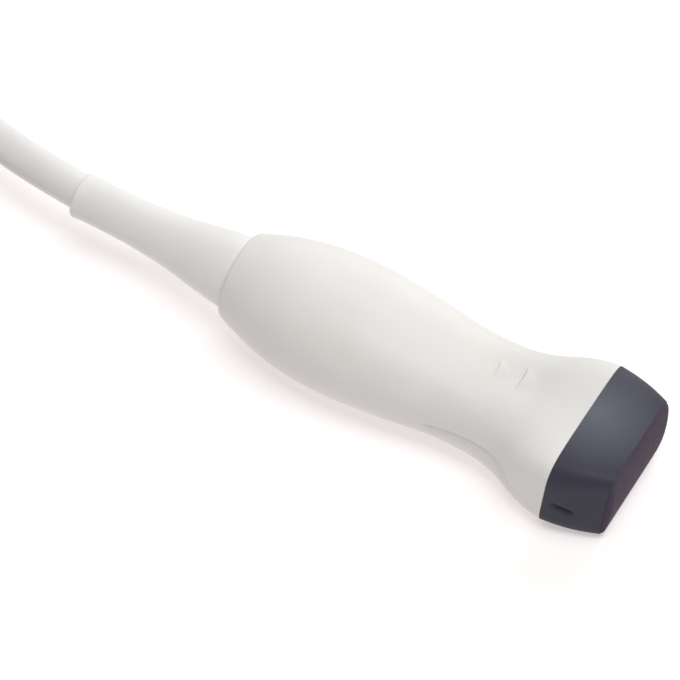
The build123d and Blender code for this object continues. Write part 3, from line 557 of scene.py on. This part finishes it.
LENS_T = np.linspace(0, 2 * math.pi, 241)[:-1]
rings = []
c, s = np.cos(LENS_T), np.sin(LENS_T)
r = (np.abs(c) ** LENS_N + np.abs(s) ** LENS_N) ** (-1 / LENS_N)
rings.append([spot(98.85, yy, ww) for yy, ww in zip(LENS_A * r * c, LENS_B * r * s)])
ROUND = 0.8
for k in range(0, 7):
    t = math.pi / 2 * k / 6
    rings.append(lens_ring(ROUND * (1 - math.cos(t)), ROUND * (1 - math.sin(t))))
for inset in (1.2, 1.6, 2.2):
    rings.append(lens_ring(inset, 0.0))
for scale in (0.9, 0.75, 0.6, 0.45, 0.3, 0.15, 0.05):
    rings.append(lens_ring(2.2, 0.0, scale))
verts, faces = skin_rings(rings, cap_start=True, cap_end=True)
lens = mesh_object("lens_face", verts, faces, LENS, sharp=50)
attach(lens, "probe")
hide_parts("acoustic_lens")

# ------------------------------------------------------------------ boot
BOOT_YAW = math.radians(0.6)
BOOT_U = np.array([-43.0, -42.3, -34.0, -26.0, -16.0, -8.0, -0.5, 1.0])
BOOT_R = np.array([5.42, 5.42, 5.36, 5.63, 6.57, 7.95, 8.88, 8.95])


def boot_axis(u):
    """Sideways offset of the boot's centre line: it bends a little to the far side."""
    return -math.tan(BOOT_YAW) * u


def boot_ring(u, r, count=144):
    return [spot(u, boot_axis(u) + r * math.cos(t), r * math.sin(t))
            for t in np.linspace(0, 2 * math.pi, count + 1)[:-1]]


def boot_radius(u):
    r = eased(u, BOOT_U, BOOT_R)
    # small bead at the mouth
    return r + 0.16 * smooth((-41.2 - u) / 0.9)


rings = []
LIP = 0.35
rings.append(boot_ring(-30.0, 4.42))
rings.append(boot_ring(-42.6, 4.42))
rings.append(boot_ring(-42.9, 4.72))
for k in range(0, 6):
    t = math.pi / 2 * k / 5
    rings.append(boot_ring(-42.9 + LIP * (1 - math.cos(t)), boot_radius(-42.5) - LIP * (1 - math.sin(t))))
for u in np.arange(-42.3, -0.3, 0.6):
    rings.append(boot_ring(u, boot_radius(u)))
rings.append(boot_ring(-0.06, 8.9))
rings.append(boot_ring(-0.06, 7.5))
rings.append(boot_ring(3.5, 7.5))
rings.append(boot_ring(3.5, 4.42))
verts, faces = skin_rings(rings, loop=True)
boot = mesh_object("boot_sleeve", verts, faces, BOOT_WHITE, sharp=50)
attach(boot, "probe")
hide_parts("strain_relief_boot")

# ------------------------------------------------------------------ cable
COIL_X, COIL_Y, COIL_Z, OUT_R = -142.4, -39.4, 1.0, 53.8
LOW = COIL_Z + CABLE_R
PLUG_X, PLUG_Y = COIL_X + 4.0, COIL_Y - 33.5
PLUG_Z = COIL_Z + 4 * CABLE_R
ENTRY_Z = PLUG_Z + 13.0
TOP = COIL_Z + 5 * CABLE_R
D = 2 * CABLE_R


def along_boot(u):
    return (X0 + math.cos(TILT) * u * math.cos(BOOT_YAW), -u * math.sin(BOOT_YAW),
            H0 - math.sin(TILT) * u * math.cos(BOOT_YAW))


route = [
    along_boot(-18.0),
    along_boot(-51.0),
    (X0 - 83.0, 11.0, 13.0),
    (X0 - 99.8, 14.7, LOW + 1.9),
    (COIL_X, COIL_Y + OUT_R, LOW),
]
STEP = 15
SHRINK = math.cos(math.radians(STEP / 2))


def ring_place(angle):
    """Radius and height of the winding at an angle counted from the first turn's start: four turns on
    the floor from the outside in, then on top of them from the inside out."""
    turn = (angle - 265.0) / 360.0
    k = math.floor(turn)
    phi = math.pi / 2 * float(smooth((turn - k) * 360.0 / 150.0))
    out = math.sqrt(max(0.0, 1 - (1 - math.sin(phi)) ** 2))
    inner = OUT_R - 3 * D
    if k < 0:
        return OUT_R, LOW
    if k <= 2:
        return OUT_R - (k + 1) * D + D * math.cos(phi), LOW
    if k == 3:
        return inner, LOW + D * math.sin(phi)
    return inner + (k - 4) * D + D * out, LOW + D


angle = 90 + STEP
LAST = 265 + 360 * 6 + 115
while angle <= LAST:
    radius, height = ring_place(angle)
    t = math.radians(angle)
    route.append((COIL_X + radius / SHRINK * math.cos(t), COIL_Y + radius / SHRINK * math.sin(t), height))
    angle += STEP
# off the coil, over the first turn and up to the connector
for extra, radius, height in ((35, 53.8, TOP - 6.4), (50, 53.6, TOP - 3.3), (65, 53.2, TOP - 1.3)):
    t = math.radians(extra)
    route.append((COIL_X + radius * math.cos(t), COIL_Y + radius * math.sin(t), height))
route += [
    (COIL_X + 9.5, COIL_Y + 51.8, TOP - 0.1),
    (COIL_X - 15.1, COIL_Y + 47.5, TOP + 0.8),
    (COIL_X - 36.1, COIL_Y + 32.2, TOP + 2.7),
    (COIL_X - 45.8, COIL_Y + 6.8, TOP + 4.9),
    (COIL_X - 38.4, COIL_Y - 19.2, TOP + 7.2),
    (PLUG_X - 19.5, PLUG_Y, ENTRY_Z),
    (PLUG_X + 7.6, PLUG_Y, ENTRY_Z),
]
cable_data = bpy.data.curves.new("probe_cable", "CURVE")
cable_data.dimensions = "3D"
line = cable_data.splines.new("NURBS")
line.points.add(len(route) - 1)
for p, (x, y, z) in zip(line.points, route):
    p.co = (x * 0.001, y * 0.001, z * 0.001, 1.0)
line.order_u = 3
line.use_endpoint_u = True
line.resolution_u = 8
cable_data.bevel_depth = CABLE_R * 0.001
cable_data.bevel_resolution = 7
cable_data.use_fill_caps = True
cable_data.materials.append(CABLE_WHITE)
cable = bpy.data.objects.new("probe_cable", cable_data)
scene.collection.objects.link(cable)
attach(cable, "probe")
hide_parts("cable_lead", "cable_coil", "cable_tail")


# ------------------------------------------------------------------ tie round the coil
def tie_path(count=16):
    """Middle line of the strap round the bundle, as (distance from the coil's centre, height)."""
    lo_r, hi_r, lo_z, hi_z, r = 21.2, 58.9, 0.45, 19.15, 4.6
    pts = []
    for cx, cz, start in ((hi_r - r, lo_z + r, -90), (hi_r - r, hi_z - r, 0), (lo_r + r, hi_z - r, 90), (lo_r + r, lo_z + r, 180)):
        for k in range(count + 1):
            t = math.radians(start + 90 * k / count)
            pts.append((cx + r * math.cos(t), cz + r * math.sin(t)))
    return pts


def strap(name, path, width, thick, angle, material, closed):
    """A flat strap with softly rounded long edges along a path in the plane through the coil's axis."""
    out = Vector((math.cos(math.radians(angle)), math.sin(math.radians(angle)), 0))
    side = Vector((-out.y, out.x, 0))
    centre = Vector((COIL_X, COIL_Y, 0))
    profile = []
    half, rim = width / 2, thick / 2
    for x, sign in ((half - rim, 1), (-half + rim, -1)):
        for k in range(7):
            t = math.radians(-90 + 180 * k / 6) if sign > 0 else math.radians(90 + 180 * k / 6)
            profile.append((x + rim * math.cos(t), rim * math.sin(t)))
    rings = []
    n = len(path)
    for i, (r, z) in enumerate(path):
        a = path[(i - 1) % n] if closed or i > 0 else path[i]
        b = path[(i + 1) % n] if closed or i < n - 1 else path[i]
        tangent = Vector((b[0] - a[0], b[1] - a[1]))
        tangent.normalize()
        normal = Vector((tangent.y, -tangent.x))
        ring = []
        for x, h in profile:
            rr, zz = r + normal.x * h, z + normal.y * h
            p = centre + out * rr + side * x
            ring.append((p.x * 0.001, p.y * 0.001, zz * 0.001))
        rings.append(ring)
    verts, faces = skin_rings(rings, loop=closed, cap_start=not closed, cap_end=not closed)
    return mesh_object(name, verts, faces, material, sharp=60)


TIE_SKIN = MATERIALS["tie_fabric"]
tie = strap("coil_strap", tie_path(), 14.0, 0.9, 12.0, TIE_SKIN, True)
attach(tie, "probe")
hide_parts("coil_tie")
flap_path = [(r, z) for r, z in
             [(29.0, 20.0), (32.0, 20.05), (37.0, 20.05), (42.0, 20.05), (47.0, 20.05), (52.0, 20.0)]]
flap = strap("coil_strap_end", flap_path, 13.4, 0.8, 12.0, TIE_SKIN, False)
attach(flap, "probe")

# ------------------------------------------------------------------ floor and light
# a softly lit white acrylic table: part of its light comes from within, so shadows on it are faint
floor_mat, tree, bsdf = new_material("floor_white")
co = tree.nodes.new("ShaderNodeTexCoord").outputs["Object"]
paper = noise_node(tree, 30.0, 4.0, 0.5, co)
tree.links.new(ramp(tree, paper.outputs["Fac"], (0.598, 0.598, 0.598), (0.602, 0.602, 0.602)).outputs["Color"],
               bsdf.inputs["Base Color"])
bsdf.inputs["Roughness"].default_value = 0.9
bsdf.inputs["Specular IOR Level"].default_value = 0.1
bsdf.inputs["Emission Color"].default_value = (1.0, 0.93, 0.925, 1.0)
bsdf.inputs["Emission Strength"].default_value = 0.49
floor_data = bpy.data.meshes.new("floor")
floor_data.from_pydata([(-6, -6, 0), (6, -6, 0), (6, 6, 0), (-6, 6, 0)], [], [(0, 1, 2, 3)])
floor_data.materials.append(floor_mat)
floor = bpy.data.objects.new("floor", floor_data)
scene.collection.objects.link(floor)

world = bpy.data.worlds.new("studio")
world.use_nodes = True
world.node_tree.nodes["Background"].inputs["Color"].default_value = (1.0, 0.985, 0.98, 1.0)
world.node_tree.nodes["Background"].inputs["Strength"].default_value = 0.16
scene.world = world


def softbox(name, place, target, size, power, colour=(1, 1, 1)):
    data = bpy.data.lights.new(name, "AREA")
    data.shape = "RECTANGLE"
    data.size, data.size_y = size
    data.energy = power
    data.color = colour
    o = bpy.data.objects.new(name, data)
    scene.collection.objects.link(o)
    o.location = place
    o.rotation_euler = (Vector(target) - Vector(place)).to_track_quat("-Z", "Y").to_euler()
    return o


softbox("top", (0.27, -0.12, 1.38), (0.02, 0.0, 0.0), (1.0, 0.5), 15.3, (1.0, 1.0, 0.99))
softbox("back", (0.0, 1.30, 0.45), (0.02, 0.0, 0.0), (1.4, 0.6), 7.5, (1.0, 1.0, 0.99))
softbox("far", (-0.30, 0.90, 1.05), (0.02, 0.0, 0.0), (0.4, 0.32), 2.0, (1.0, 1.0, 0.99))

scene.view_settings.view_transform = "Standard"
scene.view_settings.look = "None"
scene.view_settings.exposure = 0.0
scene.view_settings.gamma = 1.0
